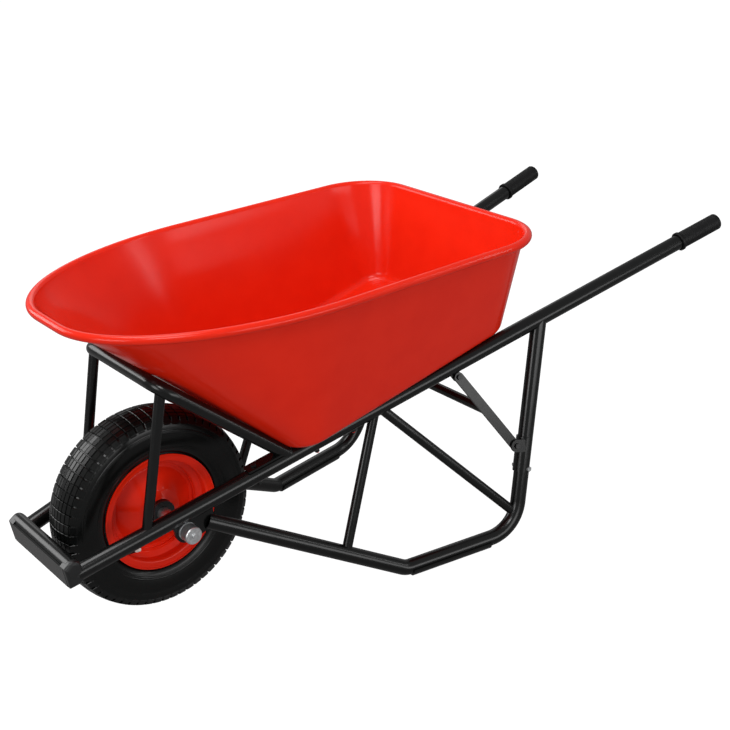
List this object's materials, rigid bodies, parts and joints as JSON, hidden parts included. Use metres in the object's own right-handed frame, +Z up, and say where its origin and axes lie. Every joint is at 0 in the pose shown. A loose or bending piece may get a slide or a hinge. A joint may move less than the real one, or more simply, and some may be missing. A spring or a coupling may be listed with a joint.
{
  "type": "wheelbarrow",
  "caption": "Wheelbarrow with a deep pressed steel tray, a bent tube frame with skid feet and rubber grips, and a pneumatic wheel on a fixed axle.",
  "frame": {"origin": "on the ground, below the middle of the barrow's length and width", "axes": "+X forward to the wheel, +Y to the left hand side, +Z up"},
  "size_m": [1.5052, 0.6244, 0.6871],
  "materials": {
    "red_enamel": "glossy baked enamel, red-orange",
    "black_powder_coat": "gloss black powder coat",
    "tyre_rubber": "moulded black rubber with a block tread",
    "grip_rubber": "moulded black rubber, ribbed",
    "butyl": "smooth black butyl rubber",
    "black_plastic": "moulded black polyethylene",
    "white_plastic": "moulded white polyethylene",
    "zinc_plate": "bright zinc plate",
    "black_oxide": "satin black oxide",
    "bearing_steel": "ground bearing steel"
  },
  "bodies": {
    "frame": {"axle": "zinc_plate", "bearing_spacer": "zinc_plate", "brace_bolts": "black_oxide", "brace_cross_tube": "black_powder_coat", "brace_nuts": "black_oxide", "hoop_bolts": "black_oxide", "hoop_nuts": "black_oxide", "left_axle_bracket": "black_powder_coat", "left_axle_cap_nut": "zinc_plate", "left_axle_spacer": "zinc_plate", "left_brace_tab": "black_powder_coat", "left_diagonal_strut": "black_powder_coat", "left_grip": "grip_rubber", "left_hoop_foot_plate": "black_powder_coat", "left_hoop_upright": "black_powder_coat", "left_leg_brace": "black_powder_coat", "left_leg_saddle": "black_powder_coat", "left_leg_tube": "black_powder_coat", "left_mid_strut": "black_powder_coat", "left_nose_plug": "black_plastic", "left_rail": "black_powder_coat", "left_rail_plug": "black_plastic", "left_skid_shoe": "black_powder_coat", "leg_bolts": "zinc_plate", "leg_nuts": "zinc_plate", "nose_plate": "black_powder_coat", "nose_tube": "black_powder_coat", "right_axle_bracket": "black_powder_coat", "right_axle_cap_nut": "zinc_plate", "right_axle_spacer": "zinc_plate", "right_brace_tab": "black_powder_coat", "right_diagonal_strut": "black_powder_coat", "right_grip": "grip_rubber", "right_hoop_foot_plate": "black_powder_coat", "right_hoop_upright": "black_powder_coat", "right_leg_brace": "black_powder_coat", "right_leg_saddle": "black_powder_coat", "right_leg_tube": "black_powder_coat", "right_mid_strut": "black_powder_coat", "right_nose_plug": "black_plastic", "right_rail": "black_powder_coat", "right_rail_plug": "black_plastic", "right_skid_shoe": "black_powder_coat", "tray": "red_enamel", "tray_bolts": "red_enamel", "tray_hoop": "black_powder_coat", "tray_nuts": "black_oxide"},
    "wheel": {"hub_tube": "black_powder_coat", "left_wheel_bearing": "bearing_steel", "right_wheel_bearing": "bearing_steel", "left_dust_cap": "black_plastic", "right_dust_cap": "black_plastic", "wheel_rim": "red_enamel", "left_wheel_disc": "red_enamel", "right_wheel_disc": "red_enamel", "tyre": "tyre_rubber", "inner_tube": "butyl", "valve_stem": "butyl", "valve_cap": "white_plastic"}
  },
  "joints": [
    {"name": "wheel_spin", "type": "hinge", "parent": "frame", "child": "wheel", "pos_m": [0.51172, 0, 0.2], "axis": [0, 1, 0], "continuous": true}
  ]
}
